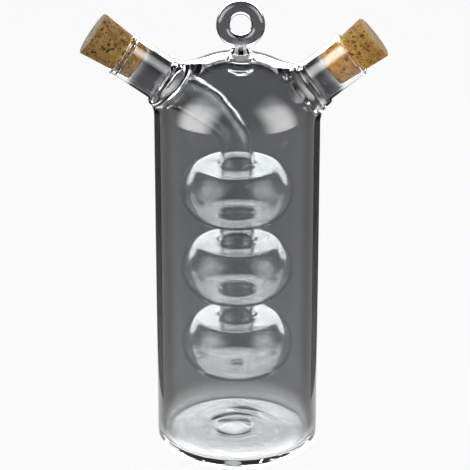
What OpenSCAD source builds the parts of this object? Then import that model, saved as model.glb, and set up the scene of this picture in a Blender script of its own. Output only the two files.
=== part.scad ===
// Oil and vinegar cruet in blown laboratory glass: an oil flask of three bubbles
// hangs inside a vinegar flask, and each has its own slanting neck and cork.
// Millimetres. The origin is the middle of the flat underside and +Z is up.
// Both necks lie in the XZ plane: the oil neck rises to -X, the vinegar neck to +X.

/* [Outer flask] */
// Outside diameter of the tubular body
body_d = 75; // [72:0.5:84]
// Wall of the body and its dome
body_wall = 2.3; // [1.8:0.1:3]
// Height of the straight side, from the table to where the dome starts
side_h = 162; // [158:1:190]
// Height of the dome above the straight side
dome_h = 28.5; // [26.5:0.5:31]
// Radius of the shoulder, where the side turns into the dome
shoulder_r = 21; // [18:0.5:23]
// Thickness of the flat floor
floor_t = 4; // [3:0.5:7]
// Outside radius of the heel, where the side meets the floor
heel_r = 5; // [3:0.5:7]
// Inside radius at the foot of the wall
foot_r = 3.5; // [2:0.5:6]
// Diameter of the pip left in the middle of the floor when the tube was closed
pip_d = 16; // [10:1:24]
// Height of the pip above the floor
pip_h = 2; // [1:0.5:3]

/* [Vinegar neck] */
// Angle of the neck above level
vinegar_angle = 39; // [36:0.5:42]
// How far below the top of the straight side the neck's axis meets the flask's axis
vinegar_drop = 13; // [11:0.5:15]
// How far the middle of the lip stands out past the side of the body
vinegar_reach = 14; // [12:0.5:20]
// Bore of the neck, which sets how deep the cork goes in
vinegar_bore = 18.5; // [18:0.05:19.5]

/* [Oil neck] */
// Angle of the neck above level
oil_angle = 35; // [32:0.5:38]
// How far below the top of the straight side the neck's axis meets the flask's axis
oil_drop = 7; // [5:0.5:9]
// How far the middle of the lip stands out past the side of the body
oil_reach = 14.2; // [12:0.5:20]
// Bore of the neck, which sets how deep the cork goes in
oil_bore = 17.85; // [17.4:0.05:19]

/* [Both necks] */
// Wall of the neck tubes
neck_wall = 1.35; // [1:0.05:1.8]
// How far the fire-polished lip swells past the outside of the tube
lip_swell = 0.4; // [0.2:0.1:0.8]
// How far the weld swells past the tube
weld_swell = 1; // [0.6:0.1:1.8]
// How much wider still the weld is at its foot, where it runs into the shoulder
weld_flare = 1.6; // [0.5:0.1:2.5]
// Length of the swollen weld outside the shoulder
weld_l = 3.5; // [2:0.5:5]
// How far below the shoulder's outside the oil tube begins to narrow
weld_root = 3; // [2:0.5:6]

/* [Oil flask] */
// Number of bubbles
bubble_count = 3; // [2:1:3]
// Outside diameter of a bubble
bubble_d = 52.5; // [46:0.5:58]
// Height of a bubble, as if its ends were not flattened
bubble_h = 37; // [33:0.5:38]
// Distance from one bubble to the next
bubble_pitch = 37.8; // [36:0.1:42]
// Wall of the bubbles and of the bent tube
bubble_wall = 1.3; // [1:0.1:1.8]
// Diameter at which a bubble starts to turn over into its flat end
turn_d = 42; // [38:0.5:44]
// Radius of that turn, to the middle of the glass
turn_round = 5; // [3:0.5:7]
// Outside diameter of the waists between the bubbles
waist_d = 16; // [13:0.5:18]
// Radius of the fillet where a flat end runs into a waist or tube, to the middle of the glass
waist_round = 3.2; // [2:0.2:4]
// Outside diameter of the bent tube in its bend
tube_d = 15; // [13:0.25:16.5]
// Radius of the bend, along the middle of the tube
bend_r = 21; // [17:0.5:24]

/* [Hanging ring] */
// Diameter of the eye of the ring
eye_d = 9.5; // [7:0.5:14]
// Diameter of the glass rod that the ring is bent from
rod_d = 6.2; // [4.5:0.1:7.5]
// Diameter of the stem where it is sealed through the crown of the dome
stem_d = 11.5; // [9:0.5:14]
// How far the solid end of the stem hangs inside the dome
stem_drop = 7; // [4:0.5:10]
// Height of the drawn-in throat between the crown and the ring
throat_h = 2.6; // [1.5:0.1:5]
// How far the hand-set ring and stem stand to one side of the flask's axis
ring_shift = 1.5; // [0:0.1:3]

/* [Corks] */
// Length of a cork
cork_l = 24.6; // [20:0.2:30]
// Diameter of the outer end
cork_top_d = 21; // [20.2:0.1:23]
// Diameter of the inner end
cork_tip_d = 16.2; // [14:0.1:17]
// Rounding of the edges of both ends
cork_edge = 0.8; // [0.4:0.1:1.5]
// Gap left round a cork where it meets the lip
cork_gap = 0.05; // [0.02:0.01:0.1]

/* [Hidden] */
$fn = 96;

glass_colour = [0.78, 0.82, 0.84, 0.45];
oil_cork_colour = [0.62, 0.46, 0.28];
vinegar_cork_colour = [0.74, 0.57, 0.35];

body_r = body_d / 2;
crown_z = side_h + dome_h;
// The dome is two arcs that run on from each other: the shoulder, then the crown.
shoulder_x = body_r - shoulder_r;
crown_r = (pow(shoulder_x, 2) + pow(dome_h, 2) - pow(shoulder_r, 2))
    / (2 * (dome_h - shoulder_r));
crown_arc_z = crown_z - crown_r;
arc_join = atan2(side_h - crown_arc_z, shoulder_x);
arc_steps = 12;
// How far a cut runs past what it cuts, along a line and round a bend.
past = 4;
past_turn = 3;

// A neck is described by where its axis meets the flask's axis, its angle, and its length.
oil_cross_z = side_h - oil_drop;
oil_length = (body_r + oil_reach) / cos(oil_angle);
oil_neck_r = oil_bore / 2 + neck_wall;
vinegar_cross_z = side_h - vinegar_drop;
vinegar_length = (body_r + vinegar_reach) / cos(vinegar_angle);
vinegar_neck_r = vinegar_bore / 2 + neck_wall;

// Where a line beside a neck's axis, that far away, goes through the shoulder arc.
// It is measured along the neck.
function shoulder_at(cross_z, angle, aside) =
    let (across = shoulder_x * sin(angle) - (side_h - cross_z) * cos(angle))
    let (along = shoulder_x * cos(angle) + (side_h - cross_z) * sin(angle))
    along + sqrt(max(0, pow(shoulder_r, 2) - pow(abs(across) + aside, 2)));
oil_exit = shoulder_at(oil_cross_z, oil_angle, 0);
vinegar_exit = shoulder_at(vinegar_cross_z, vinegar_angle, 0);
oil_foot = shoulder_at(oil_cross_z, oil_angle, oil_neck_r + weld_swell + weld_flare);
vinegar_foot = shoulder_at(vinegar_cross_z, vinegar_angle, vinegar_neck_r + weld_swell + weld_flare);
taper_end = oil_exit - weld_root;
// The vinegar neck is drawn from here, inside the flask, and then cut to the dome's inside.
vinegar_root = vinegar_foot - body_wall - past;

// The lip is a half round as thick as the tube and its swell. It blends into the tube over
// lip_blend below the half round, and the bore runs true.
lip_r = (neck_wall + lip_swell) / 2;
lip_blend = 1.75;
// A cork stops where its taper comes to the bore less the gap. Its tip is this far below the lip's top.
function seat_depth(bore) =
    lip_r + cork_l * (bore - 2 * cork_gap - cork_tip_d) / (cork_top_d - cork_tip_d);

tube_r = tube_d / 2;
bend_turn = 90 - oil_angle;
bend_reach = bend_r * tan(bend_turn / 2);
bend_end_z = oil_cross_z - bend_reach;
// The top bubble hangs from the end of the bend by half its height.
top_bubble_z = bend_end_z - bubble_h / 2;
// Angle on the bubble's ellipse at which the turn starts.
turn_angle = acos(turn_d / bubble_d);
bubble_steps = 8;
turn_steps = 5;
taper_steps = 8;
// The seed is the small dimple where the lowest bubble was sealed off.
seed_d = 8;
seed_h = 1;
seed_steps = 6;

ring_r = (eye_d + rod_d) / 2;
ring_z = crown_z + throat_h + ring_r + rod_d / 2;
stem_proud = 0.4;
stem_edge = 1.8;
throat_inset = 0.3;

// The taper starts this far inside the bend and this much narrower, so that the two share glass.
lap = 0.5;
lap_inset = 0.1;

// Points along an arc about [cx, cy], from angle a to angle b.
function arc(cx, cy, r, a, b, steps = arc_steps) =
    [for (i = [0:steps]) let (t = a + (b - a) * i / steps) [cx + r * cos(t), cy + r * sin(t)]];

// The same points without the first, for arcs that carry on from the one before.
function tail(points) = [for (i = [1:len(points) - 1]) points[i]];

// Points of the dome, from the top of the side to the crown, moved in by the wall.
function dome_points(wall) = concat(
    arc(shoulder_x, side_h, shoulder_r - wall, 0, arc_join),
    tail(arc(0, crown_arc_z, crown_r - wall, arc_join, 90))
);

function reversed(points) = [for (i = [len(points) - 1:-1:0]) points[i]];

function raised(points, z) = [for (p = points) [p[0], p[1] + z]];

function flipped(points) = [for (p = points) [p[0], -p[1]]];

// The middle of the glass of a bubble, from its widest up over the turn to its flat end.
// The bubble's middle is at height 0.
bubble_side = let (
    long_r = (bubble_d - bubble_wall) / 2,
    half_h = (bubble_h - bubble_wall) / 2,
    start = [long_r * cos(turn_angle), half_h * sin(turn_angle)],
    rise = atan2(half_h * cos(turn_angle), -long_r * sin(turn_angle)),
    centre = start - turn_round * [sin(rise), -cos(rise)])
    concat(
        [for (i = [0:bubble_steps]) let (t = turn_angle * i / bubble_steps)
            [long_r * cos(t), half_h * sin(t)]],
        tail(arc(centre[0], centre[1], turn_round, rise - 90, 90, turn_steps))
    );
flat_z = bubble_side[len(bubble_side) - 1][1];

// The same line carried on across the flat end and up a waist or tube above it, which has
// radius end_r at height end_z.
function half_bubble(end_r, end_z) = concat(
    bubble_side,
    arc(end_r + waist_round, flat_z + waist_round, waist_round, -90, -180, turn_steps),
    [[end_r, end_z]]
);

// The lowest bubble's closed end, from the seed on the axis out to its widest.
closed_end = concat(
    [for (i = [0:seed_steps]) let (u = i / seed_steps)
        [seed_d / 2 * u, seed_h * pow(cos(90 * u), 2) - flat_z]],
    flipped(reversed(bubble_side))
);

// The middle of the glass of the whole stack, from its lowest point up to the end of the bend.
stack_line = let (
    to_waist = half_bubble((waist_d - bubble_wall) / 2, bubble_pitch / 2),
    to_bend = half_bubble((tube_d - bubble_wall) / 2, bubble_h / 2),
    low_z = top_bubble_z - (bubble_count - 1) * bubble_pitch)
    concat(
        raised(closed_end, low_z),
        [for (n = [0:bubble_count - 2]) each concat(
            raised(tail(to_waist), low_z + n * bubble_pitch),
            raised(tail(flipped(reversed(to_waist))), low_z + (n + 1) * bubble_pitch))],
        raised(tail(to_bend), top_bubble_z)
    );

// Direction of travel at a point of a line that starts level on the axis and ends upright.
function heading(line, i) =
    i == 0 ? [1, 0]
    : i == len(line) - 1 ? [0, 1]
    : let (step = line[i + 1] - line[i - 1]) step / norm(step);

// The line moved sideways, outwards for a positive distance.
function beside(line, distance) = [for (i = [0:len(line) - 1])
    let (h = heading(line, i)) line[i] + distance * [h[1], -h[0]]];

// The taper from the bend up to the neck: slim for most of its way, then opening quickly to the weld.
function taper(from_r, to_r) = [for (i = [0:taper_steps]) let (u = i / taper_steps)
    [from_r + (to_r - from_r) * pow(u, 3), bend_reach - lap + (taper_end - bend_reach + lap) * u]];

// Puts its children at a neck: the origin where the two axes meet, +Z out along the neck.
module along_neck(cross_z, angle, side) {
    translate([0, 0, cross_z]) rotate([0, side * (90 - angle), 0]) children();
}

module along_oil_neck() {
    along_neck(oil_cross_z, oil_angle, -1) children();
}

module along_vinegar_neck() {
    along_neck(vinegar_cross_z, vinegar_angle, 1) children();
}

// A neck's outside, still solid, from its first points up to the fire-polished lip.
module neck_solid(start, bore, length) {
    outer = bore / 2 + neck_wall;
    rotate_extrude() polygon(concat(
        start,
        [[outer, length - lip_r - lip_blend]],
        arc(bore / 2 + lip_r, length - lip_r, lip_r, 0, 180, 2 * arc_steps),
        [[0, length - lip_r]]
    ));
}

// The outside of the oil neck with the taper that leads to the bend, still solid.
module oil_neck_solid() {
    neck_solid(
        concat([[0, bend_reach - lap]], taper(tube_r - lap_inset, oil_neck_r)),
        oil_bore, oil_length);
}

// The outside of the vinegar neck, still solid.
module vinegar_neck_solid() {
    neck_solid([[0, vinegar_root], [vinegar_neck_r, vinegar_root]], vinegar_bore, vinegar_length);
}

// The swollen ring of melted glass that seals a neck into the shoulder.
module weld(neck_r, foot, exit) {
    steps = arc_steps;
    rotate_extrude() polygon(concat(
        [[0, foot]],
        [for (i = [0:steps]) let (u = i / steps)
            [neck_r + weld_swell * sqrt(1 - u * u) + weld_flare * pow(1 - u, 3),
                foot + (exit + weld_l - foot) * u]],
        [[0, exit + weld_l]]
    ));
}

module outer_shape() {
    rotate_extrude() polygon(concat(
        [[0, 0]],
        arc(body_r - heel_r, heel_r, heel_r, -90, 0),
        dome_points(0)
    ));
}

module inner_space() {
    pip_steps = 8;
    rotate_extrude() polygon(concat(
        [for (i = [0:pip_steps]) let (u = i / pip_steps)
            [pip_d / 2 * u, floor_t + pip_h * pow(cos(90 * u), 2)]],
        arc(body_r - body_wall - foot_r, floor_t + foot_r, foot_r, -90, 0),
        dome_points(body_wall)
    ));
}

module outer_flask() {
    color(glass_colour) difference() {
        union() {
            outer_shape();
            along_oil_neck() weld(oil_neck_r, oil_foot, oil_exit);
            along_vinegar_neck() weld(vinegar_neck_r, vinegar_foot, vinegar_exit);
        }
        inner_space();
        along_oil_neck() oil_neck_solid();
        along_vinegar_neck() vinegar_neck_solid();
        translate([ring_shift, 0, crown_z - body_wall - past]) cylinder(d = stem_d, h = 2 * past);
    }
}

// The tube that is sealed into the shoulder, with its inner end flush with the dome's inside.
module vinegar_neck() {
    color(glass_colour) difference() {
        along_vinegar_neck() vinegar_neck_solid();
        inner_space();
        along_vinegar_neck() translate([0, 0, vinegar_root - past])
            cylinder(d = vinegar_bore, h = vinegar_length);
    }
}

// The bend as a solid, from a little before its lower end if before is given.
module bend(radius, before = 0) {
    translate([-bend_r, 0, bend_end_z]) rotate([90, 0, 0]) rotate([0, 0, -before])
        rotate_extrude(angle = bend_turn + before) translate([bend_r, 0]) circle(r = radius);
}

// The stack of bubbles as a solid, with its top carried up into the tube if above is given.
module stack(distance, above = 0) {
    top_r = (tube_d - bubble_wall) / 2 + distance;
    rotate_extrude() polygon(concat(
        beside(stack_line, distance),
        above > 0 ? [[top_r, bend_end_z + above]] : [],
        [[0, bend_end_z + above]]
    ));
}

// The space inside the oil neck, the taper and the start of the bend.
module oil_bore_space() {
    rotate_extrude() polygon(concat(
        [[0, bend_reach - lap]],
        taper(tube_r - bubble_wall - lap_inset, oil_bore / 2),
        [[oil_bore / 2, oil_length + past], [0, oil_length + past]]
    ));
}

module inner_flask() {
    color(glass_colour) difference() {
        stack(bubble_wall / 2);
        stack(-bubble_wall / 2, past);
    }
}

// The tube that is sealed to the top bubble, bends, and runs out through the shoulder as the neck.
module oil_tube() {
    color(glass_colour) difference() {
        union() {
            bend(tube_r);
            along_oil_neck() oil_neck_solid();
        }
        bend(tube_r - bubble_wall, past_turn);
        along_oil_neck() oil_bore_space();
    }
}

module hanging_ring() {
    steps = arc_steps;
    stem_r = stem_d / 2;
    stem_z = crown_z - body_wall - stem_drop;
    stem_top_z = crown_z + stem_proud;
    throat_r = rod_d / 2 - throat_inset;
    throat_top_z = ring_z - ring_r;
    color(glass_colour) translate([ring_shift, 0, 0]) {
        rotate_extrude() polygon(concat(
            [[0, stem_z]],
            arc(stem_r - stem_edge, stem_z + stem_edge, stem_edge, -90, 0),
            [for (i = [0:steps]) let (u = i / steps)
                [throat_r + (stem_r - throat_r) * pow(1 - u, 2),
                    stem_top_z + (throat_top_z - stem_top_z) * u]],
            [[0, throat_top_z]]
        ));
        translate([0, 0, ring_z]) rotate([90, 0, 0]) rotate_extrude()
            translate([ring_r, 0]) circle(d = rod_d);
    }
}

// A tapered cork with its tip at the origin and its outer end up the +Z axis.
module cork() {
    edge_steps = 4;
    slope = (cork_top_d - cork_tip_d) / 2 / cork_l;
    tip_r = cork_tip_d / 2;
    top_r = cork_top_d / 2;
    rotate_extrude() polygon(concat(
        [[0, 0]],
        arc(tip_r + slope * cork_edge - cork_edge, cork_edge, cork_edge, -90, 0, edge_steps),
        arc(top_r - slope * cork_edge - cork_edge, cork_l - cork_edge, cork_edge, 0, 90, edge_steps),
        [[0, cork_l]]
    ));
}

module oil_cork() {
    color(oil_cork_colour) along_oil_neck()
        translate([0, 0, oil_length - seat_depth(oil_bore)]) cork();
}

module vinegar_cork() {
    color(vinegar_cork_colour) along_vinegar_neck()
        translate([0, 0, vinegar_length - seat_depth(vinegar_bore)]) cork();
}

outer_flask();
vinegar_neck();
inner_flask();
oil_tube();
hanging_ring();
oil_cork();
vinegar_cork();
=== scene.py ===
# %% [markdown]
# # An oil and vinegar cruet in blown glass
# The cruet is one piece of glass: a round flask for vinegar, an oil flask of three
# bubbles inside it, two slanting necks and a ring to hang it by. Two corks close it.
# The CAD model comes first as a fixed frame, and everything here is built round it.

from math import acos, atan2, cos, degrees, exp, hypot, pi, radians, sin, tan

import bmesh
import bpy
import numpy as np
from bmesh.types import BMEdge, BMVert
from mathutils import Matrix, Vector, noise


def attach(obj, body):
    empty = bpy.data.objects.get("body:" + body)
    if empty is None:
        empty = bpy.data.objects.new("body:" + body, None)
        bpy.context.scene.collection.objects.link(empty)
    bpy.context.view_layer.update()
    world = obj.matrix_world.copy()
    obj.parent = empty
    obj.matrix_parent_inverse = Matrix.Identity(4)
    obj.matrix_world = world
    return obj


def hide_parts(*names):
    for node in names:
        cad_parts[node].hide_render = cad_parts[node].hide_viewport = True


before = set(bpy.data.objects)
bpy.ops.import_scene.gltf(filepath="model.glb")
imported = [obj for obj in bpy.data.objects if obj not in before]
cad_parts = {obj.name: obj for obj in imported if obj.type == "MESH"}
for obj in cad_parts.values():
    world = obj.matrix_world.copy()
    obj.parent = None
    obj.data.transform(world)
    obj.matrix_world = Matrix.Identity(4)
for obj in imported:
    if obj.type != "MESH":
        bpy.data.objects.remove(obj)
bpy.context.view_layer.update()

# %% [markdown]
# The camera comes early, because it says how much detail each piece needs. The
# photograph looks down at the cruet from about a metre away with a long lens, so the
# upright sides stay nearly parallel.

# %% Place the camera
LOOK_DOWN = radians(22.2)
DISTANCE = 1.08085
AIM = Vector((-0.00101, 0, 0.10309))
camera = bpy.data.objects.new("camera", bpy.data.cameras.new("camera"))
bpy.context.scene.collection.objects.link(camera)
camera.location = AIM + DISTANCE * Vector((0, -cos(LOOK_DOWN), sin(LOOK_DOWN)))
camera.rotation_euler = (pi / 2 - LOOK_DOWN, 0, 0)
camera.data.lens = 179.74
camera.data.sensor_width = 36
camera.data.clip_start, camera.data.clip_end = 0.05, 50
bpy.context.scene.camera = camera
print("camera at", [round(c, 4) for c in camera.location])

# %% [markdown]
# ## Sizes
# All sizes are in millimetres, as a glassblower would note them, and each mesh is
# shrunk to metres when it is finished. They repeat the CAD source's own sizes. The
# dome is two arcs that meet without a corner: a tight shoulder and a flat crown, whose
# radius follows from the other sizes.

# %% Note the sizes
# The body with its dome, and the floor with its pip
BODY_R, WALL = 37.5, 2.3
SIDE_H, DOME_H, SHOULDER_R = 162, 28.5, 21
CROWN_Z = SIDE_H + DOME_H
SHOULDER_X = BODY_R - SHOULDER_R
CROWN_R = (SHOULDER_X**2 + DOME_H**2 - SHOULDER_R**2) / (2 * (DOME_H - SHOULDER_R))
CROWN_ARC_Z = CROWN_Z - CROWN_R
ARC_JOIN = atan2(SIDE_H - CROWN_ARC_Z, SHOULDER_X)
CROWN_EDGE = CROWN_R * cos(ARC_JOIN)
FLOOR_T, HEEL_R, FOOT_R = 4, 5, 3.5
PIP_X, PIP_Y, PIP_R, PIP_H = -1.2, 3.5, 8, 2
# The oil flask: its tube, its bubbles, their turn into flat ends, the dimple below
BUBBLE_WALL, TUBE_R, WAIST_R, BEND_R = 1.3, 7.5, 8, 21
BUBBLE_R, BUBBLE_H, PITCH = 26.25, 18.5, 37.8
TURN_R, TURN_ROUND, WAIST_ROUND = 21, 5, 3.2
DIMPLE_R, DIMPLE_H = 4, 1
# Where the necks' axes cross the middle, and how much a lip is thicker than its tube
OIL_CROSS_Z, VINEGAR_CROSS_Z, LIP_SWELL = SIDE_H - 7, SIDE_H - 13, 0.45
# The ring of glass rod and its stem
RING_X, RING_Z, RING_R, ROD_R = 1.5, 204.05, 7.85, 3.1
STEM_R, STEM_LOW = 5.75, 181.2
print("the crown is an arc of", round(CROWN_R, 1), "mm")
print("it starts", round(degrees(ARC_JOIN), 1), "degrees up,", round(CROWN_EDGE, 1), "mm out")


# %% [markdown]
# Each neck is described by the point where its axis meets the flask's own axis, the
# direction it rises in, its bore and its length. A small matrix for each neck turns
# upright lathe work into place, and the same matrix helps to measure distances later.

# %% Describe the necks
class Neck:
    def __init__(self, side, cross_z, rise, reach, bore, wall):
        self.side = side
        self.length = (BODY_R + reach) / cos(radians(rise))
        self.bore_r, self.outer_r = bore / 2, bore / 2 + wall
        self.lip_r = (wall + LIP_SWELL) / 2
        self.place = Matrix.Translation((0, 0, cross_z)) @ Matrix.Rotation(
            side * radians(90 - rise), 4, "Y"
        )
        self.axis = (self.place.to_3x3() @ Vector((0, 0, 1))).normalized()


oil_neck = Neck(
    side=-1, cross_z=OIL_CROSS_Z, rise=35, reach=14.2, bore=17.85, wall=BUBBLE_WALL
)
vinegar_neck = Neck(
    side=1, cross_z=VINEGAR_CROSS_Z, rise=39, reach=14, bore=18.5, wall=1.35
)
for label, neck in (("oil", oil_neck), ("vinegar", vinegar_neck)):
    print(label, "neck:", round(neck.length, 2), "mm from the axis to the lip")


# %% [markdown]
# ## A pen and a lathe
# Round glass is made on a lathe, and bmesh has one: spin. The profile is drawn first
# with a pen that pushes one vertex along: extrude makes a straight stroke and spin
# makes an arc. A full spin of that line about the Z axis gives the glass. Hot glass is
# also drawn out, which is an open ring of edges extruded along an axis, wider or
# narrower at each step.

# %% Make the pen and the lathe
def only(kind, geom):
    return [g for g in geom if isinstance(g, kind)]


class Pen:
    def __init__(self, r, z):
        self.bm = bmesh.new()
        self.tip = self.bm.verts.new((r, 0, z))

    def line(self, r, z, steps=1):
        start, end = self.tip.co.copy(), Vector((r, 0, z))
        for i in range(steps):
            self.tip = bmesh.ops.extrude_vert_indiv(self.bm, verts=[self.tip])["verts"][0]
            self.tip.co = start.lerp(end, (i + 1) / steps)

    def arc(self, r, z, turn, steps):
        spun = bmesh.ops.spin(
            self.bm, geom=[self.tip], cent=(r, 0, z), axis=(0, -1, 0), dvec=(0, 0, 0),
            angle=turn, steps=steps, use_duplicate=False,
        )
        self.tip = only(BMVert, spun["geom_last"])[0]

    def lathe(self, steps):
        bmesh.ops.spin(
            self.bm, geom=self.bm.verts[:] + self.bm.edges[:], cent=(0, 0, 0),
            axis=(0, 0, 1), dvec=(0, 0, 0), angle=2 * pi, steps=steps,
            use_merge=True, use_duplicate=False,
        )
        bmesh.ops.remove_doubles(self.bm, verts=self.bm.verts, dist=1e-4)
        bmesh.ops.recalc_face_normals(self.bm, faces=self.bm.faces)
        return self.bm


def open_ring(bm):
    return [e for e in bm.edges if e.is_boundary]


def draw_out(bm, ring, place, height, new_r, old_r):
    """Extrudes an open ring once, to a height along an axis, from one radius to another."""
    back = place.inverted()
    out = bmesh.ops.extrude_edge_only(bm, edges=ring)["geom"]
    for v in only(BMVert, out):
        local = back @ v.co
        local.x, local.y, local.z = local.x * new_r / old_r, local.y * new_r / old_r, height
        v.co = place @ local
    return only(BMEdge, out)


print("pen and lathe are ready")


# %% [markdown]
# ## The vinegar flask
# Its wall has an outside and an inside, which are drawn as two separate skins. The
# outside is a solid plug of glass, and the inside is a plug of air. They come
# together at the end, once the necks are sealed on. Where the floor was closed and
# flattened it keeps a pip with a moat round it, a crease and faint swirls, which show
# as bent lines through the glass.

# %% Draw the flask's skins
def dome(pen):
    """From the top of the straight side over the shoulder to the crown."""
    pen.arc(SHOULDER_X, SIDE_H, ARC_JOIN, 20)
    pen.arc(0, CROWN_ARC_Z, pi / 2 - ARC_JOIN, 28)
    pen.tip.co.x = 0


def outer_plug():
    pen = Pen(0, 0)
    pen.line(BODY_R - HEEL_R, 0, 6)
    pen.arc(BODY_R - HEEL_R, HEEL_R, pi / 2, 10)
    pen.line(BODY_R, SIDE_H, 20)
    dome(pen)
    return pen.lathe(160)


def bell(distance, width):
    return exp(-(distance / width) ** 2)


def floor_height(x, y):
    """How far the inside of the floor rises above its flat at a point."""
    far, around = hypot(x - PIP_X, y - PIP_Y), atan2(y - PIP_Y, x - PIP_X)
    pip = PIP_H * bell(far, 0.65 * PIP_R) - 0.6 * bell(far - 1.3 * PIP_R, 2.4)
    crease = -0.6 * bell(far - 18, 1.8) * bell(around - 1.2, 0.5)
    swirl = 0.1 * noise.noise(Vector((x * 0.09, y * 0.16, far * 0.11)))
    return pip + crease + swirl + 0.02 * sin(1.3 * far + around)


def air_plug():
    pen = Pen(0, FLOOR_T)
    foot = BODY_R - WALL - FOOT_R
    pen.line(foot, FLOOR_T, 44)
    pen.arc(foot, FLOOR_T + FOOT_R, pi / 2, 8)
    pen.line(BODY_R - WALL, SIDE_H, 20)
    dome(pen)
    bm = pen.lathe(160)
    for v in bm.verts:
        if v.co.z < FLOOR_T + 0.001:
            inside = min(1, (foot - hypot(v.co.x, v.co.y)) / 3)
            v.co.z += max(0.0, inside) * floor_height(v.co.x, v.co.y)
    return bm


flask_glass, flask_air = outer_plug(), air_plug()
print("flask skins:", len(flask_glass.faces), "and", len(flask_air.faces), "faces")

# %% [markdown]
# ## The oil flask
# The oil flask is one long tube, blown out into three bubbles and bent at the top.
# Its profile is the middle of the glass, so the same line can be pushed out and in by
# half the wall later. Each bubble is a flattened ball that turns over into a flat end,
# and the flat end runs into the waist in a small fillet. Its side is an ellipse as far
# as TURN_R, and from there a small arc goes on in the same direction until it is level.

# %% Measure one bubble
MID = BUBBLE_WALL / 2
TURN = acos(TURN_R / BUBBLE_R)
TURN_START = Vector(((BUBBLE_R - MID) * cos(TURN), (BUBBLE_H - MID) * sin(TURN)))
TURN_RISE = atan2((BUBBLE_H - MID) * cos(TURN), -(BUBBLE_R - MID) * sin(TURN))
TURN_CENTRE = TURN_START - TURN_ROUND * Vector((sin(TURN_RISE), -cos(TURN_RISE)))
TURN_LEFT = pi - TURN_RISE
FLAT_Z = TURN_CENTRE.y + TURN_ROUND
BEND_TURN = radians(55)
BEND_REACH = BEND_R * sin(BEND_TURN) / (1 + cos(BEND_TURN))
BEND_END_Z = OIL_CROSS_Z - BEND_REACH
TOP_BUBBLE_Z = BEND_END_Z - BUBBLE_H
LOW_BUBBLE_Z = TOP_BUBBLE_Z - 2 * PITCH
print("a bubble's flat ends lie", round(FLAT_Z + MID, 2), "mm from its middle")
print("they start", round(TURN_CENTRE.x, 2), "mm out")


# %% [markdown]
# A bubble is drawn from the rim of its lower flat end out round the side to the upper
# one. On a lamp this is one puff of air into a soft length of tube, and the flame then
# flattens both ends. The waist between two bubbles is the tube that stayed cold.

# %% Draw a bubble and a waist
SIDE_STEPS = 13


def blow_bubble(pen, z):
    pen.line(TURN_CENTRE.x, z - FLAT_Z, 5)
    pen.arc(TURN_CENTRE.x, z - TURN_CENTRE.y, TURN_LEFT, 7)
    for i in range(1, 2 * SIDE_STEPS + 1):
        t = TURN * (i / SIDE_STEPS - 1)
        pen.line((BUBBLE_R - MID) * cos(t), z + (BUBBLE_H - MID) * sin(t))
    pen.arc(TURN_CENTRE.x, z + TURN_CENTRE.y, TURN_LEFT, 7)


def draw_waist(pen, z, r, top_z, closes):
    """From a bubble's flat end up a waist, and out again if another bubble follows."""
    pen.line(r + WAIST_ROUND, z + FLAT_Z, 5)
    pen.arc(r + WAIST_ROUND, z + FLAT_Z + WAIST_ROUND, -pi / 2, 9)
    if closes:
        pen.line(r, top_z - FLAT_Z - WAIST_ROUND, 5)
        pen.arc(r + WAIST_ROUND, top_z - FLAT_Z - WAIST_ROUND, -pi / 2, 9)
    else:
        pen.line(r, top_z, 3)


def bubble_stack():
    """Three bubbles on their waists, from the dimple under the lowest to the bend."""
    end_z, steps = LOW_BUBBLE_Z - FLAT_Z, 6
    pen = Pen(0, end_z + DIMPLE_H)
    for i in range(1, steps + 1):
        pen.line(DIMPLE_R * i / steps, end_z + DIMPLE_H * cos(pi / 2 * i / steps) ** 2)
    for n in range(3):
        z = LOW_BUBBLE_Z + n * PITCH
        blow_bubble(pen, z)
        if n < 2:
            draw_waist(pen, z, WAIST_R - MID, z + PITCH, True)
    draw_waist(pen, z, TUBE_R - MID, BEND_END_Z, False)
    return pen.lathe(96)


oil_stack = bubble_stack()
print("the stack of bubbles has", len(oil_stack.faces), "faces")


# %% [markdown]
# The stack's open top is spun again, this time only part of a turn about the centre of
# the bend, and drawn out along the neck's axis: slim for most of the way, then opening
# quickly to the neck. Soft glass sags outward in a bend, so the upper side bulges a
# little. The finished middle line is pushed along its normals both ways, which gives
# the tube its two skins.

# %% Bend the tube
TAPER_END = 35.2
BULGE, BULGE_START = 2.5, 3


def bend_tube(bm):
    spun = bmesh.ops.spin(
        bm, geom=open_ring(bm), cent=(-BEND_R, 0, BEND_END_Z), axis=(0, -1, 0),
        dvec=(0, 0, 0), angle=BEND_TURN, steps=20, use_duplicate=False,
    )
    ring = only(BMEdge, spun["geom_last"])
    start_r, end_r = TUBE_R - MID, oil_neck.bore_r + MID
    stations = [
        (BEND_REACH + (TAPER_END - BEND_REACH) * u, start_r + (end_r - start_r) * u**3)
        for u in np.linspace(0, 1, 25)[1:]
    ]
    lip_z = oil_neck.length - oil_neck.lip_r
    stations += [(s, end_r) for s in np.linspace(TAPER_END, lip_z, 24)[1:]]
    r = start_r
    for s, new_r in stations:
        ring = draw_out(bm, ring, oil_neck.place, s, new_r, r)
        r = new_r
    to_neck = oil_neck.place.inverted()
    for v in bm.verts:
        local = to_neck @ v.co
        if v.co.z > BEND_END_Z and BULGE_START < local.z < TAPER_END and local.x > 0:
            wave = sin(pi * (local.z - BULGE_START) / (TAPER_END - BULGE_START))
            local.x += BULGE * wave**2 * local.x / hypot(local.x, local.y)
            v.co = oil_neck.place @ local
    bmesh.ops.recalc_face_normals(bm, faces=bm.faces)


def looks_outward(bm, middle, reach=5):
    """Whether the faces level with a point on the axis look away from it."""
    near = [f for f in bm.faces if abs(f.calc_center_median().z - middle.z) < reach]
    return sum(f.normal.dot(f.calc_center_median() - middle) for f in near) > 0


def skin(middle, distance):
    """A copy of the tube, pushed sideways along its normals."""
    bm = middle.copy()
    bm.normal_update()
    moves = [v.normal * distance for v in bm.verts]
    for v, move in zip(bm.verts, moves):
        v.co += move
    return bm


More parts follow.
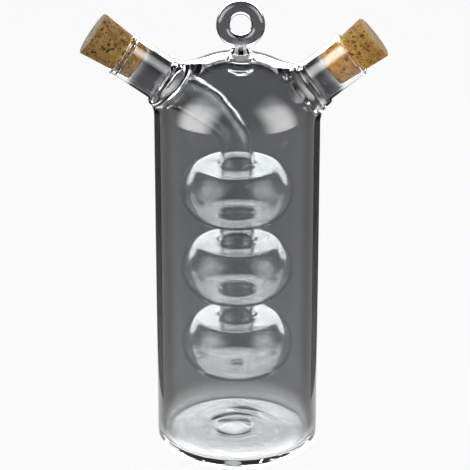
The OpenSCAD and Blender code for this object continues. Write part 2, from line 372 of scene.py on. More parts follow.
bend_tube(oil_stack)
if not looks_outward(oil_stack, Vector((0, 0, TOP_BUBBLE_Z))):
    bmesh.ops.reverse_faces(oil_stack, faces=oil_stack.faces)
oil_glass, oil_air = skin(oil_stack, MID), skin(oil_stack, -MID)
print("the oil tube has", len(oil_stack.faces), "faces a skin")


# %% [markdown]
# ## Lips and caps
# A fire-polished lip is a half round that runs from the outside of the tube over to
# its bore, and swells a little past the tube. Each skin is then closed with one flat
# cap, so that it is solid enough to join with the others. The caps carry their own
# material number, which survives the joining, and come off again at the end.

# %% Make the lips and caps
LIP_STEPS, LIP_BLEND = 16, 1.75


def add_lip(bm, neck):
    """Carries the outside's open end over a half round to the bore."""
    ring, r = open_ring(bm), neck.outer_r
    for i in range(LIP_STEPS + 1):
        t = pi * i / LIP_STEPS
        new_r = neck.bore_r + neck.lip_r * (1 + cos(t))
        height = neck.length - neck.lip_r * (1 - sin(t))
        ring = draw_out(bm, ring, neck.place, height, new_r, r)
        r = new_r


def cap(bm):
    for face in bmesh.ops.contextual_create(bm, geom=open_ring(bm))["faces"]:
        face.material_index = 1
    bmesh.ops.recalc_face_normals(bm, faces=bm.faces)


def shorten(bm, neck):
    """Pulls the last ring down, so that the lip's swell blends in above it."""
    back = neck.place.inverted()
    for v in {v for e in open_ring(bm) for v in e.verts}:
        local = back @ v.co
        local.z -= LIP_BLEND
        v.co = neck.place @ local


shorten(oil_glass, oil_neck)
add_lip(oil_glass, oil_neck)
cap(oil_glass)
cap(oil_air)
print("the oil flask's skins are closed, with", len(oil_glass.faces), "faces outside")

# %% [markdown]
# The vinegar neck is a plain short tube that starts inside the flask. It is turned
# upright on the lathe and then put in place along its neck.

# %% Make the vinegar neck
NECK_FOOT = 26


def put(bm, place):
    bmesh.ops.transform(bm, matrix=place, verts=bm.verts)
    return bm


def neck_skin(neck, r, end, steps=24):
    pen = Pen(0, NECK_FOOT)
    for i in range(steps + 1):
        pen.line(r, NECK_FOOT + (end - NECK_FOOT) * i / steps)
    return put(pen.lathe(96), neck.place)


vinegar_lip = vinegar_neck.length - vinegar_neck.lip_r
vinegar_glass = neck_skin(vinegar_neck, vinegar_neck.outer_r, vinegar_lip - LIP_BLEND)
add_lip(vinegar_glass, vinegar_neck)
cap(vinegar_glass)
vinegar_air = neck_skin(vinegar_neck, vinegar_neck.bore_r, vinegar_lip)
cap(vinegar_air)
faces = len(vinegar_glass.faces) + len(vinegar_air.faces)
print("the vinegar neck has", faces, "faces")

# %% [markdown]
# ## Welds
# A weld is glass melted by hand, so it is thick, a little wavy, and drawn out where it
# runs into the flask. To follow the round shoulder, each side line of a weld first
# looks up how far along the neck it meets the dome, and then runs into it in a curve.

# %% Find the dome from a neck
NECK_SPAN, STEM_SPAN = (12.0, 60.0), (150.0, 200.0)


def past_dome(point, inset):
    """How far a point lies past the flask's outside, or past its inside with inset WALL."""
    r, z = hypot(point.x, point.y), point.z
    if z < SIDE_H:
        return r - BODY_R + inset
    if atan2(z - SIDE_H, r - SHOULDER_X) < ARC_JOIN:
        return hypot(r - SHOULDER_X, z - SIDE_H) - SHOULDER_R + inset
    return hypot(r, z - CROWN_ARC_Z) - CROWN_R + inset


def dome_at(place, r, turn, inset, span=NECK_SPAN):
    """How far along an axis the side line at this radius and turn meets the dome."""
    low, high = span
    for _ in range(26):
        middle = (low + high) / 2
        point = place @ Vector((r * cos(turn), r * sin(turn), middle))
        low, high = (middle, high) if past_dome(point, inset) < 0 else (low, middle)
    return low


def run_in(place, turn, start, reach, inset, span=NECK_SPAN):
    """A curve from a point beside the axis to the dome, ending just under its skin."""
    steps, step_out, tail, sink = 9, 0.3, 1.6, 0.12
    r, along = start
    foot_r = r + reach
    foot = dome_at(place, foot_r, turn, inset, span)
    slope = (dome_at(place, foot_r + step_out, turn, inset, span) - foot) / step_out
    corner = Vector((r, foot - slope * reach))
    begin, end = Vector((r, along)), Vector((foot_r, foot))
    curve = []
    for i in range(1, steps + 1):
        u = i / steps
        p = begin * (1 - u) ** 2 + corner * 2 * u * (1 - u) + end * u**2
        curve.append((p.x, p.y))
    under = -1 if inset == 0 or along > foot else 1
    last = dome_at(place, foot_r + tail, turn, inset, span) + sink * under
    return curve + [(foot_r + tail, last)]


leaves = dome_at(oil_neck.place, 0, 0, 0)
print("the oil neck leaves the dome", round(leaves, 2), "mm from the axis")


# %% [markdown]
# The welds are built ring by ring. One circle is extruded again and again, and each new
# ring is laid on the outline, which may change a little on its way round. Soft noise
# moves the outline, as a hand-held flame does.

# %% Build a piece round an axis
def bearing(v):
    return atan2(v.co.y, v.co.x)


def turned(place, outline, steps=96):
    """A closed piece round an axis from outline(turn), a list of (radius, height)."""
    bm = bmesh.new()
    bmesh.ops.create_circle(bm, segments=steps, radius=1)
    ring, verts = bm.edges[:], sorted(bm.verts, key=bearing)
    turns = [bearing(v) for v in verts]
    outlines = [outline(turn) for turn in turns]
    for k in range(len(outlines[0])):
        if k:
            out = bmesh.ops.extrude_edge_only(bm, edges=ring)["geom"]
            ring, verts = only(BMEdge, out), sorted(only(BMVert, out), key=bearing)
        for v, turn, line in zip(verts, turns, outlines):
            r, z = line[k]
            v.co = (r * cos(turn), r * sin(turn), z)
    bmesh.ops.holes_fill(bm, edges=open_ring(bm), sides=steps)
    bmesh.ops.recalc_face_normals(bm, faces=bm.faces)
    return put(bm, place)


def drift(turn, pace, seed):
    """Soft noise that meets itself after a full turn."""
    return noise.noise(Vector((pace * cos(turn) + seed, pace * sin(turn), 0.7 * seed)))


print("a drift round the axis:", [round(drift(t, 1.3, 7.0), 2) for t in range(6)])


# %% [markdown]
# Where a neck passes through the shoulder, molten glass gathers in a swollen collar. It
# is widest on the side of the crown, where the neck leaves the dome at a flat angle,
# and heaps up a little on the low side. The collars reach into the flask's own glass,
# so that the joining leaves nothing open.

# %% Weld the necks to the shoulder
def weld(neck, seed, heap):
    """The outside of a weld: a swollen collar that runs into the dome."""
    leaves, inner = dome_at(neck.place, 0, 0, 0), neck.outer_r - 0.05
    lift, fall, least_reach, steps = 3.6, 2.2, 4.2, 7

    def outline(turn):
        to_crown = (1 - neck.side * cos(turn)) / 2
        swell = 1.1 + 0.5 * drift(turn, 0.9, seed) + heap * (1 - to_crown) ** 2
        top = leaves + lift + 0.9 * drift(turn, 1.3, seed + 5)
        side = [(inner - 1, leaves + 5.5), (inner, top)]
        for i in range(1, steps + 1):
            t = pi / 2 * i / steps
            side.append((inner + swell * sin(t), top - fall * (1 - cos(t))))
        reach = least_reach + 4.6 * to_crown + 1.2 * drift(turn, 1.6, seed + 9)
        return side + run_in(neck.place, turn, side[-1], reach, 0) + [(8, 18)]

    return turned(neck.place, outline)


oil_weld, vinegar_weld = weld(oil_neck, 2.0, 0.9), weld(vinegar_neck, 4.0, 0.3)
print("outer welds:", len(oil_weld.faces), "and", len(vinegar_weld.faces), "faces")


# %% [markdown]
# Inside the dome the two necks differ. The oil tube passes through, so glass gathers
# round it as a seal that hangs below the wall. The vinegar neck opens into the flask,
# so its bore flares out into the inside of the dome, and that flare is a plug of air.

# %% Seal the tube and flare the bore
def taper_r(along):
    """The outside of the oil tube on its way to the neck."""
    u = max(0.0, min(1.0, (along - BEND_REACH) / (TAPER_END - BEND_REACH)))
    return TUBE_R + (oil_neck.outer_r - TUBE_R) * u**3


def inner_seal(turn):
    meets = dome_at(oil_neck.place, 9.2, turn, WALL)
    begin = meets - 3.2 - 0.8 * drift(turn, 1.2, 6.0)
    start = (taper_r(begin) - 0.04, begin)
    return [(4, 22), start] + run_in(oil_neck.place, turn, start, 4.6, WALL) + [(6, 44)]


def bore_flare(turn):
    place, r = vinegar_neck.place, vinegar_neck.bore_r - 0.04
    foot = r + 2.6 + 0.5 * drift(turn, 1.2, 3.0)
    top = dome_at(place, r, turn, WALL) + 2.4
    down = run_in(place, turn, (r, top), foot - r, WALL)
    return [(5, 18)] + down[::-1] + [(r, top), (r - 1, 46)]


inner_weld = turned(oil_neck.place, inner_seal)
flare = turned(vinegar_neck.place, bore_flare)
print("inner welds:", len(inner_weld.faces), "and", len(flare.faces), "faces")

# %% [markdown]
# The ring is solid glass rod bent round on itself. Its stem is melted onto the crown,
# and below it a round boss of solid glass hangs inside the dome.

# %% Make the ring, its stem and the boss
STEM_PLACE = Matrix.Translation((RING_X, 0, 0))


def stem(turn):
    throat, top, steps = ROD_R + 0.2, RING_Z - RING_R, 8
    side = [(throat - 0.6, top + 0.4)]
    for i in range(1, steps + 1):
        u = i / steps
        r = throat + (STEM_R - 1 - throat) * u**2.2
        side.append((r, top - (top - CROWN_Z - 1.2) * u))
    reach = 3.4 + 0.8 * drift(turn, 1.1, 8.0)
    return side + run_in(STEM_PLACE, turn, side[-1], reach, 0, STEM_SPAN) + [(4, 170)]


def boss(turn):
    edge, steps = 1.8, 8
    side = [(0.5, STEM_LOW)]
    for i in range(steps + 1):
        t = -pi / 2 + pi / 2 * i / steps
        side.append((STEM_R - edge + edge * cos(t), STEM_LOW + edge + edge * sin(t)))
    side.append((STEM_R, STEM_LOW + 3))
    start = (STEM_R, STEM_LOW + 4.4)
    return side + run_in(STEM_PLACE, turn, start, 1.8, WALL, STEM_SPAN) + [(4, 200)]


def glass_ring():
    bm = bmesh.new()
    start = Matrix.Translation((RING_X + RING_R, 0, RING_Z))
    bmesh.ops.create_circle(bm, segments=32, radius=ROD_R, matrix=start)
    bmesh.ops.spin(
        bm, geom=bm.verts[:] + bm.edges[:], cent=(RING_X, 0, RING_Z), axis=(0, 1, 0),
        dvec=(0, 0, 0), angle=2 * pi, steps=80, use_merge=True, use_duplicate=False,
    )
    bmesh.ops.remove_doubles(bm, verts=bm.verts, dist=1e-4)
    bmesh.ops.recalc_face_normals(bm, faces=bm.faces)
    return bm


ring_stem, ring_boss = turned(STEM_PLACE, stem, 72), turned(STEM_PLACE, boss, 72)
ring = glass_ring()
faces = len(ring.faces) + len(ring_stem.faces) + len(ring_boss.faces)
print("ring, stem and boss:", faces, "faces")


# %% [markdown]
# ## Sealing the glass together
# The Boolean modifier joins the plugs of glass into one skin and the plugs of air
# into another. The tube, its seal and the boss are taken away from the air, because
# they stand in it as glass.

# %% Join the plugs
def as_object(name, bm):
    mesh = bpy.data.meshes.new(name)
    bm.to_mesh(mesh)
    for material in ("glass", "cap"):
        made = bpy.data.materials.get(material) or bpy.data.materials.new(material)
        mesh.materials.append(made)
    piece = bpy.data.objects.new(name, mesh)
    bpy.context.scene.collection.objects.link(piece)
    return piece


def joined(name, start, steps):
    """start with each (operation, bmesh) done to it in turn, as a new bmesh."""
    base = as_object(name, start)
    tools = []
    for i, (operation, bm) in enumerate(steps):
        tools.append(as_object(f"{name}_{i}", bm))
        boolean = base.modifiers.new(str(i), "BOOLEAN")
        boolean.operation, boolean.solver, boolean.object = operation, "EXACT", tools[-1]
    shape = base.evaluated_get(bpy.context.evaluated_depsgraph_get())
    out = bmesh.new()
    out.from_mesh(shape.to_mesh())
    shape.to_mesh_clear()
    for piece in [base] + tools:
        mesh = piece.data
        bpy.data.objects.remove(piece)
        bpy.data.meshes.remove(mesh)
    return out


glass = joined("glass", flask_glass, [
    ("UNION", oil_glass), ("UNION", vinegar_glass), ("UNION", oil_weld),
    ("UNION", vinegar_weld), ("UNION", ring_stem), ("UNION", ring),
])
air = joined("air", flask_air, [
    ("UNION", vinegar_air), ("UNION", flare), ("DIFFERENCE", oil_glass),
    ("DIFFERENCE", inner_weld), ("DIFFERENCE", ring_boss),
])
print("joined skins:", len(glass.faces), "and", len(air.faces), "faces")

# %% [markdown]
# ## Finish the glass piece
# The caps come off, the skins meet at the lips, and the result is one closed surface.
# The skins of air are turned inside out first, because glass looks into its own inside.

# %% Put the skins together
def together(skins):
    """One bmesh from (skin, whether it is air) pairs, without their caps."""
    whole = bmesh.new()
    for bm, is_air in skins:
        caps = [f for f in bm.faces if f.material_index == 1]
        bmesh.ops.delete(bm, geom=caps, context="FACES")
        if is_air:
            bmesh.ops.reverse_faces(bm, faces=bm.faces)
        mesh = bpy.data.meshes.new("skin")
        bm.to_mesh(mesh)
        whole.from_mesh(mesh)
        bpy.data.meshes.remove(mesh)
    bmesh.ops.remove_doubles(whole, verts=whole.verts, dist=0.002)
    return whole


def finished(name, bm):
    """A smooth object in metres from a bmesh in millimetres."""
    bmesh.ops.scale(bm, vec=(0.001,) * 3, verts=bm.verts)
    for f in bm.faces:
        f.smooth, f.material_index = True, 0
    mesh = bpy.data.meshes.new(name)
    bm.to_mesh(mesh)
    bm.free()
    made = bpy.data.objects.new(name, mesh)
    bpy.context.scene.collection.objects.link(made)
    return made


whole = together([(glass, False), (air, True), (oil_air, True)])
loose = [e for e in whole.edges if not e.is_manifold]
print("one skin of", len(whole.faces), "faces, with", len(loose), "open edges")
print("it holds", round(whole.calc_volume() / 1000, 1), "cm3 of glass")
bmesh.ops.triangulate(whole, faces=[f for f in whole.faces if len(f.verts) > 4])
glass_piece = finished("blown_glass_flask", whole)


# %% [markdown]
# ## Glass
# Clear glass is mostly what it reflects and bends. The wide wall looks grey, while the
# bubbles and the ends of the necks stay bright. The glass itself is clear, so that grey
# is painted shade mixed into the wall's colour, and a value stored on the mesh says
# where: about one on the wall, the dome and the floor, a little more on the welds and
# the ring, and nothing on the bubbles.

# %% Mark where the glass gets painted shade
BASE_TOP, BASE_R = 12, 33.5
# How strong the painted shade is on the necks and on the ring.
NECK_PAINTED_SHADE, RING_PAINTED_SHADE = 1.15, 1.35


def smoothly(values, start, end):
    share = np.clip((values - start) / (end - start), 0, 1)
    return share * share * (3 - 2 * share)


def mark_painted_shade(piece):
    place = np.empty(len(piece.data.vertices) * 3)
    piece.data.vertices.foreach_get("co", place)
    place = place.reshape(-1, 3) * 1000
    x, y, z = place.T
    r = np.hypot(x, y)
    shoulder = np.hypot(r - SHOULDER_X, z - SIDE_H) - SHOULDER_R
    crown = np.hypot(r, z - CROWN_ARC_Z) - CROWN_R
    on_shoulder = np.arctan2(z - SIDE_H, r - SHOULDER_X) < ARC_JOIN
    past = np.where(z < SIDE_H, r - BODY_R, np.where(on_shoulder, shoulder, crown))
    wall = smoothly(past, -WALL - 1.2, -WALL - 0.2) * (1 - smoothly(past, 0.2, 2.2))
    from_stem = np.hypot(x - RING_X, y) + 50 * (z < 175)
    # Painted shade on the wall, the dome and the floor, kept off the stem.
    painted_shade = wall * smoothly(from_stem, 5, 8)
    # The painted shade fades out near the foot and is a little darker toward the top.
    painted_shade = painted_shade * smoothly(z, 5, 13) * (0.9 + 0.1 * smoothly(z, 20, 130))
    # The floor of the base takes the full painted shade.
    painted_shade = np.maximum(painted_shade, (r < BASE_R) & (z < BASE_TOP))
    # The necks past their welds, up to the corks, take stronger painted shade.
    for neck in (oil_neck, vinegar_neck):
        along = (place - np.array(neck.place.translation)) @ np.array(neck.axis)
        neck_shade_reach = smoothly(past, 2, 5) * (1 - smoothly(along, 51, 55))
        painted_shade = np.maximum(painted_shade, NECK_PAINTED_SHADE * neck_shade_reach * (neck.side * x > 12))
    # The ring takes the strongest painted shade.
    on_ring = smoothly(z, 193.5, 196.5) * (abs(x - RING_X) < 12)
    painted_shade = np.maximum(painted_shade, RING_PAINTED_SHADE * on_ring)
    piece.data.attributes.new("painted_shade", "FLOAT", "POINT").data.foreach_set("value", painted_shade)
    return painted_shade


painted_shade = mark_painted_shade(glass_piece)
print(int((painted_shade > 0.5).sum()), "of", len(painted_shade), "points are shaded")


# %% [markdown]
# Materials are small chains of nodes. These helpers each make one node and hand back
# its result, so that a material below reads as one line after another. A value may be
# a plain number or colour, or the result of another node.

# %% Make the node helpers
def new_material(name):
    material = bpy.data.materials.new(name)
    material.use_nodes = True
    return material, material.node_tree, material.node_tree.nodes["Principled BSDF"]


def stored(tree, label):
    """A value kept on the mesh."""
    made = tree.nodes.new("ShaderNodeAttribute")
    made.attribute_name = label
    return made.outputs["Fac"]


def maths(tree, operation, *values):
    made = tree.nodes.new("ShaderNodeMath")
    made.operation = operation
    for socket, value in zip(made.inputs, values):
        if isinstance(value, (int, float)):
            socket.default_value = value
        else:
            tree.links.new(value, socket)
    return made.outputs[0]


def spread(tree, value, low, high, shape="LINEAR"):
    """A value between low and high, stretched to run from 0 to 1."""
    made = tree.nodes.new("ShaderNodeMapRange")
    made.interpolation_type = shape
    made.inputs["From Min"].default_value = low
    made.inputs["From Max"].default_value = high
    tree.links.new(value, made.inputs["Value"])
    return made.outputs["Result"]


def blend(tree, factor, a, b, mode="MIX", clamp=True):
    """Two colours mixed by a factor."""
    made = tree.nodes.new("ShaderNodeMix")
    made.data_type, made.blend_type, made.clamp_factor = "RGBA", mode, clamp
    tree.links.new(factor, made.inputs["Factor"])
    for label, value in (("A", a), ("B", b)):
        if isinstance(value, tuple):
            made.inputs[label].default_value = (*value, 1)
        else:
            tree.links.new(value, made.inputs[label])
    return made.outputs["Result"]


print("node helpers are ready")


# %% [markdown]
# The shader mixes the clear tint and the painted shade's grey by that mark. Layer Weight
# adds more painted shade where the wall is seen nearly edge on, a dark edge painted
# into its colour. On the bubbles and the floor this painted dark edge stays at their
# very rims.

# %% Mix the glass
# The second colour is the wall's painted shade, the third its painted dark edge.
CLEAR, SHADE_GREY, EDGE_SHADE = (0.955, 0.965, 0.965), (0.3, 0.305, 0.31), (0.005, 0.005, 0.006)


def glass_material(name, index, thin_wall=True, coat=0.0, coat_index=1.5):
    material, tree, shader = new_material(name)
    for label, value in (
        ("Roughness", 0.0), ("IOR", index), ("Transmission Weight", 1.0),
        ("Coat Weight", coat), ("Coat Roughness", 0.3), ("Coat IOR", coat_index),
    ):
        shader.inputs[label].default_value = value
    mark = stored(tree, "painted_shade")
    tint = blend(tree, mark, CLEAR, SHADE_GREY, clamp=False)
    # Layer Weight paints a dark edge: painted shade where the glass is seen edge on.
    edge = tree.nodes.new("ShaderNodeLayerWeight")
    edge.inputs["Blend"].default_value = 0.5
    start, end = (0.38, 0.64) if thin_wall else (0.7, 0.95)
    rise = spread(tree, edge.outputs["Facing"], start, end, "SMOOTHSTEP")
    amount = maths(tree, "MULTIPLY", rise, mark if thin_wall else 0.9)
    dark = blend(tree, amount, tint, EDGE_SHADE)
    tree.links.new(dark, shader.inputs["Base Color"])
    return material


print("a shaded wall is tinted", SHADE_GREY, "and its edge", EDGE_SHADE)

# %% [markdown]
# One index of refraction would do for real glass. Here the finishes differ: the wall is
# low, so that it bends little and the bubbles show clearly behind it. The bubbles are
# high with a soft coat, so that their rims shine. The floor gathers light. The crown
# gets weaker toward its middle in four bands, which keeps the bent tube's line whole
# where it passes from crown to shoulder.

# %% Give each part of the glass its finish
WALL_GLASS, BUBBLE_GLASS, FLOOR_GLASS, FIRST_CROWN = 0, 1, 2, 3
CROWN_BANDS = ((0.5, 1.15), (0.67, 1.2), (0.83, 1.26), (1.0, 1.32))


def finish_of(middle):
    """Which finish a face takes, by the place of its middle."""
    out = hypot(middle.x, middle.y)
    if middle.z < BASE_TOP and out < BASE_R:
        return FLOOR_GLASS
    from_arc = hypot(middle.x, middle.z - CROWN_ARC_Z, middle.y) - CROWN_R + WALL / 2
    if middle.z >= SIDE_H and abs(from_arc) <= WALL / 2 + 0.3:
        for i, (share, _) in enumerate(CROWN_BANDS):
            if out / CROWN_EDGE < share:
                return FIRST_CROWN + i
    off_boss = middle.z < 178 or hypot(middle.x - RING_X, middle.y) > 9
    return BUBBLE_GLASS if off_boss and past_dome(middle, WALL) < -1.2 else WALL_GLASS


for material in [
    glass_material("flask_glass", 1.38),
    glass_material("bubble_glass", 1.75, thin_wall=False, coat=0.6, coat_index=1.6),
    glass_material("floor_glass", 1.6, thin_wall=False),
] + [glass_material(f"crown_glass_{round(100 * s)}", index) for s, index in CROWN_BANDS]:
    glass_piece.data.materials.append(material)
for face in glass_piece.data.polygons:
    face.material_index = finish_of(face.center * 1000)
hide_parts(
    "outer_flask", "vinegar_neck", "inner_flask", "oil_tube", "hanging_ring"
)
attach(glass_piece, "flask")
deep = sum(face.material_index == BUBBLE_GLASS for face in glass_piece.data.polygons)
print("glass piece:", len(glass_piece.data.polygons), "faces,", deep, "of them bubbles")

# %% [markdown]
# ## Corks
# A stopper is punched from the bark, so its side shows the bark's pores as dark pits
# and short cracks, and its ends show a paler, even cut. The pits are dents in the mesh,
# and the depth of each dent is kept on the mesh, so that the colour follows the shape.
# So is how far each point sits down in the neck, where the cork is damp and also gets
# painted shade. Three plain noises warp the pores' pattern; the ready-made vector noise
# changes from run to run.

# %% Cut a cork
CORK_L, CORK_TOP_R, CORK_TIP_R, CORK_EDGE = 24.6, 10.5, 8.1, 0.8
WARPS = Vector((9.3, -1.5, -8)), Vector((0, 0, 0)), Vector((6.3, 0.2, -2.7))


def cork_blank():
    slope = (CORK_TOP_R - CORK_TIP_R) / CORK_L
    pen = Pen(0, 0)
    low, high = CORK_TIP_R + slope * CORK_EDGE, CORK_TOP_R - slope * CORK_EDGE
    pen.line(low - CORK_EDGE, 0, 16)
    pen.arc(low - CORK_EDGE, CORK_EDGE, pi / 2, 4)
    pen.line(high, CORK_L - CORK_EDGE, 60)
    pen.arc(high - CORK_EDGE, CORK_L - CORK_EDGE, pi / 2, 4)
    pen.line(0, CORK_L, 20)
    return pen.lathe(160)


def pore_depth(p, grain, pores):
    """How deep a pore goes at a point, from 0 to 1."""
    q = Vector((p.x * 0.55, p.y * 0.9, p.z * 0.9)) * pores + grain
    q += 0.35 * Vector([noise.noise(p * 0.6 + grain + warp) for warp in WARPS])
    near = noise.voronoi(q, distance_metric="DISTANCE", exponent=2.5)[0][0]
    keep = noise.noise(p * 0.22 + 2 * grain)
    size = 0.37 + 0.22 * keep
    pit = max(0.0, min(1.0, (size - near) / 0.16))
    crack = abs(noise.noise(Vector((p.x * 0.12, p.y * 0.35, p.z * 0.5)) + 3 * grain))
    line = max(0.0, 1 - crack / 0.018) * max(0.0, min(1.0, 3 * keep + 0.2))
    return max(pit, 0.7 * line)


def cut_cork(name, body, neck, tip_at, grain, pores, depth):
    bm = cork_blank()
    bm.normal_update()
    rows = []
    for v in bm.verts:
        pit = pore_depth(v.co, grain, pores)
        flat_end = v.co.z < 0.01 or v.co.z > CORK_L - 0.01
        # The part down in the neck: damp, and darkened further as painted shade.
        damp_and_shade = smoothly(neck.length - tip_at - v.co.z, -0.6, 0.6)
        rows.append((pit * (0.6 if flat_end else 1), 1.0 if flat_end else 0.0, damp_and_shade))
    for v, (pit, _, _) in zip(bm.verts, rows):
        v.co -= v.normal * (depth * pit + 0.05 + 0.06 * noise.noise(v.co * 0.9 + grain))
    put(bm, neck.place @ Matrix.Translation((0, 0, tip_at)))
    piece = finished(name, bm)
    for label, values in zip(("pore", "cut_end", "damp_and_shade"), zip(*rows)):
        mark = piece.data.attributes.new(label, "FLOAT", "POINT")
        mark.data.foreach_set("value", values)
    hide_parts(name.replace("_stopper", ""))
    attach(piece, body)
    in_pores = sum(row[0] > 0.3 for row in rows)
    print(name, "has", len(piece.data.polygons), "faces and", in_pores, "points in pores")
    return piece


oil_cork = cut_cork(
    "oil_cork_stopper", "oil_cork", oil_neck, tip_at=54.29,
    grain=Vector((3, 8, 1)), pores=0.85, depth=0.42,
)
vinegar_cork = cut_cork(
    "vinegar_cork_stopper", "vinegar_cork", vinegar_neck, tip_at=54.12,
    grain=Vector((9, 2, 6)), pores=0.7, depth=0.25,
)


# %% [markdown]
# Cork's colour comes from fine cells, broad growth bands and the dark dust in its pores.
# The two corks share one recipe with different tones: the oil cork is browner, and the
# vinegar cork is more of an ochre. The lower half, down in the neck, is soaked and also
# carries painted shade, which multiplies its colour down to a deep brown.

# %% Colour the corks
# The colour that darkens the cork down in the neck: partly oil stain, partly painted shade.
SOAKED_AND_SHADED = (0.47, 0.42, 0.34)


def cork_material(name, dark, light, end, dust):
    material, tree, shader = new_material(name)
    shader.inputs["Specular IOR Level"].default_value = 0.06
    place = tree.nodes.new("ShaderNodeTexCoord")

    def speckle(scale, detail, rough):
        made = tree.nodes.new("ShaderNodeTexNoise")
        made.inputs["Scale"].default_value = scale
        made.inputs["Detail"].default_value = detail
        made.inputs["Roughness"].default_value = rough
        tree.links.new(place.outputs["Object"], made.inputs["Vector"])
        return made.outputs["Fac"]

    bark = blend(tree, spread(tree, speckle(260, 8, 0.7), 0.4, 0.62), dark, light)
    cells = spread(tree, speckle(1100, 5, 0.65), 0.48, 0.7)
    flecked = blend(tree, cells, bark, tuple(0.55 * c for c in dark))
    grain = spread(tree, speckle(500, 6, 0.6), 0.35, 0.7)
    cut = blend(tree, grain, end, tuple(0.8 * c for c in end))
    ended = blend(tree, stored(tree, "cut_end"), flecked, cut)
    pitted = blend(tree, spread(tree, stored(tree, "pore"), 0.1, 0.8), ended, dust)
    # Down in the neck the colour is multiplied darker: oil stain and painted shade.
    soaked_and_shaded = blend(tree, stored(tree, "damp_and_shade"), pitted, SOAKED_AND_SHADED, "MULTIPLY")
    tree.links.new(soaked_and_shaded, shader.inputs["Base Color"])
    rough = spread(tree, speckle(600, 3, 0.5), 0.2, 0.8)
    dull = tree.nodes.new("ShaderNodeMapRange")
    dull.inputs["To Min"].default_value, dull.inputs["To Max"].default_value = 0.72, 0.95
    tree.links.new(rough, dull.inputs["Value"])
    tree.links.new(dull.outputs["Result"], shader.inputs["Roughness"])
    bump = tree.nodes.new("ShaderNodeBump")
    bump.inputs["Strength"].default_value = 0.5
    bump.inputs["Distance"].default_value = 0.0002
    tree.links.new(speckle(1100, 6, 0.65), bump.inputs["Height"])
    tree.links.new(bump.outputs["Normal"], shader.inputs["Normal"])
    return material


oil_cork.data.materials.append(cork_material(
    "brown_cork", dark=(0.28, 0.15, 0.038), light=(0.49, 0.3, 0.1),
    end=(0.26, 0.19, 0.11), dust=(0.045, 0.022, 0.01),
))
vinegar_cork.data.materials.append(cork_material(
    "ochre_cork", dark=(0.43, 0.215, 0.045), light=(0.72, 0.43, 0.125),
    end=(0.3, 0.19, 0.05), dust=(0.15, 0.07, 0.02),
))
print("corks are coloured")


# %% [markdown]
# ## The studio
# The floor is a pale sweep. To the camera, and in every reflection and refraction, it
# mostly glows by itself, so that the glass doesn't darken it. To the corks it is plain
# matt paper that throws a little light back.

# %% Lay the floor
def stage_material():
    material, tree, shader = new_material("pale_floor")
    shader.inputs["Base Color"].default_value = (0.86, 0.86, 0.86, 1)
    shader.inputs["Roughness"].default_value = 0.9
    shader.inputs["Specular IOR Level"].default_value = 0.0
    path = tree.nodes.new("ShaderNodeLightPath").outputs
    seen = maths(tree, "MAXIMUM", path["Is Camera Ray"], path["Is Glossy Ray"])
    seen = maths(tree, "MAXIMUM", seen, path["Is Transmission Ray"])
    glow = tree.nodes.new("ShaderNodeEmission")
    mix = tree.nodes.new("ShaderNodeMixShader")
    tree.links.new(maths(tree, "MULTIPLY", seen, 0.92), mix.inputs[0])
    tree.links.new(shader.outputs[0], mix.inputs[1])
    tree.links.new(glow.outputs[0], mix.inputs[2])
    tree.links.new(mix.outputs[0], tree.nodes["Material Output"].inputs["Surface"])
    return material


def flat_square(name, half, place, material):
    """A square sheet laid in place by a matrix."""
    bm = bmesh.new()
    bmesh.ops.create_grid(bm, x_segments=1, y_segments=1, size=half)
    mesh = bpy.data.meshes.new(name)
    put(bm, place).to_mesh(mesh)
    bm.free()
    mesh.materials.append(material)
    sheet = bpy.data.objects.new(name, mesh)
    bpy.context.scene.collection.objects.link(sheet)
    return sheet


floor = flat_square("floor", 6, Matrix.Identity(4), stage_material())
floor.location.z = -0.0002
print("the floor is", [round(side, 1) for side in floor.dimensions[:2]], "m")

# %% [markdown]
# The room itself is nearly dark above and pale near the horizon, like a studio with a
# white sweep under a black ceiling. Glass shows both, which gives it its contrast.

# %% Light the room
world = bpy.data.worlds.new("studio")
bpy.context.scene.world = world
world.use_nodes = True
sky = world.node_tree
direction = sky.nodes.new("ShaderNodeTexCoord")
parts = sky.nodes.new("ShaderNodeSeparateXYZ")
sky.links.new(direction.outputs["Generated"], parts.inputs[0])
fade = spread(sky, parts.outputs["Z"], 0.05, 0.45, "SMOOTHSTEP")
room = blend(sky, fade, (0.9, 0.9, 0.9), (0.06, 0.06, 0.065))
sky.links.new(room, sky.nodes["Background"].inputs["Color"])
print("the room fades from 0.9 near the horizon to 0.06 overhead")


# %% [markdown]
# Three soft lamps light the corks and the floor. Glass shows little but reflections, so
# it also gets panels that only glass and gloss can see: one behind, which lights up
# every flat end of the bubbles, and two at the front, which give the shoulder its soft
# patches. The panels fade out toward their borders, as a lamp behind cloth does.

# %% Hang the lamps and panels
PANEL_CENTRE = Vector((0, 0, 0.12))


def soft_box(name, place, aim, width, height, strength, glints_only=False):
    """A square light that shines at a point, with its strength as radiance."""
    light = bpy.data.lights.new(name, "AREA")
    light.shape, light.size, light.size_y = "RECTANGLE", width, height
    light.energy = strength * pi * width * height
    made = bpy.data.objects.new(name, light)
    made.location = place
    made.rotation_euler = (Vector(aim) - Vector(place)).to_track_quat("-Z", "Y").to_euler()
    bpy.context.scene.collection.objects.link(made)
    made.visible_camera = False
    made.visible_diffuse = not glints_only
    made.visible_glossy = made.visible_transmission = glints_only
    return made


def soften(light, inner):
    """Lets a panel fade out from a share of its width to its borders."""
    light.use_nodes = True
    tree = light.node_tree
    place = tree.nodes.new("ShaderNodeNewGeometry")
    sides = tree.nodes.new("ShaderNodeSeparateXYZ")
    tree.links.new(place.outputs["Parametric"], sides.inputs[0])
    fades = []
    for label in ("X", "Y"):
        off = maths(tree, "SUBTRACT", sides.outputs[label], 0.5)
        far = maths(tree, "ABSOLUTE", off)
        fades.append(spread(tree, far, 0.5, inner, "SMOOTHSTEP"))
    both = maths(tree, "MULTIPLY", *fades)
    tree.links.new(both, tree.nodes["Emission"].inputs["Strength"])


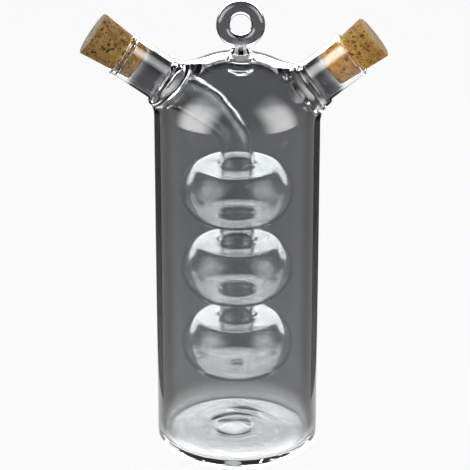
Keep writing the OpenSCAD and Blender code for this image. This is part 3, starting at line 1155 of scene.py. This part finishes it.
def glint_panel(name, turn, rise, width, height, strength, inner=0.1, away=1.5):
    """A panel for reflections, by its bearing from the front and its height angle."""
    turn, rise = radians(turn), radians(rise)
    toward = Vector((sin(turn) * cos(rise), -cos(turn) * cos(rise), sin(rise)))
    sides = [2 * away * tan(radians(a) / 2) for a in (width, height)]
    place = PANEL_CENTRE + away * toward
    panel = soft_box(name, place, PANEL_CENTRE, *sides, strength, glints_only=True)
    soften(panel.data, inner)
    print(name, "panel is", [round(side, 2) for side in sides], "m")


soft_box("overhead", (0, 0.1, 1.4), (0, 0, 0.1), 1.6, 1.4, 1.5)
soft_box("left", (-0.9, -1.1, 0.8), (0, 0, 0.15), 0.6, 0.7, 2.7)
soft_box("right", (0.9, -1.1, 0.8), (0, 0, 0.15), 0.6, 0.7, 2.7)
glint_panel("behind", turn=180, rise=22, width=116, height=26, strength=24, inner=0.45)
glint_panel("front_left", turn=-62, rise=20, width=66, height=100, strength=14.5)
glint_panel("front_right", turn=64, rise=18, width=62, height=96, strength=13)

# %% [markdown]
# Photographers of clear glass stand dark cards just outside the picture, because the
# edges then mirror something dark and draw a line round the glass. The two cards here
# do the same, and they are seen in reflections only.

# %% Stand the cards
card, _, shader = new_material("grey_card")
for label, value in (
    ("Base Color", (0.01, 0.01, 0.01, 1)), ("Specular IOR Level", 0),
    ("Emission Color", (1, 1, 1, 1)), ("Emission Strength", 0.05),
):
    shader.inputs[label].default_value = value
for side, label in ((-1, "left"), (1, "right")):
    stand = Matrix.Translation((side * 0.06, 0.11, 0.093)) @ Matrix.Rotation(pi / 2, 4, "Y")
    place = stand @ Matrix.Diagonal((0.17, 0.2, 1, 1))
    flag = flat_square(f"flag_{label}", 0.5, place, card)
    flag.visible_camera = flag.visible_diffuse = False
    flag.visible_transmission = flag.visible_shadow = False
    print(flag.name, "stands", side * 60, "mm from the middle")

# %% [markdown]
# ## Finish
# The colours are shown as they are, without a film curve.

# %% Show the colours as they are
bpy.context.scene.view_settings.view_transform = "Standard"
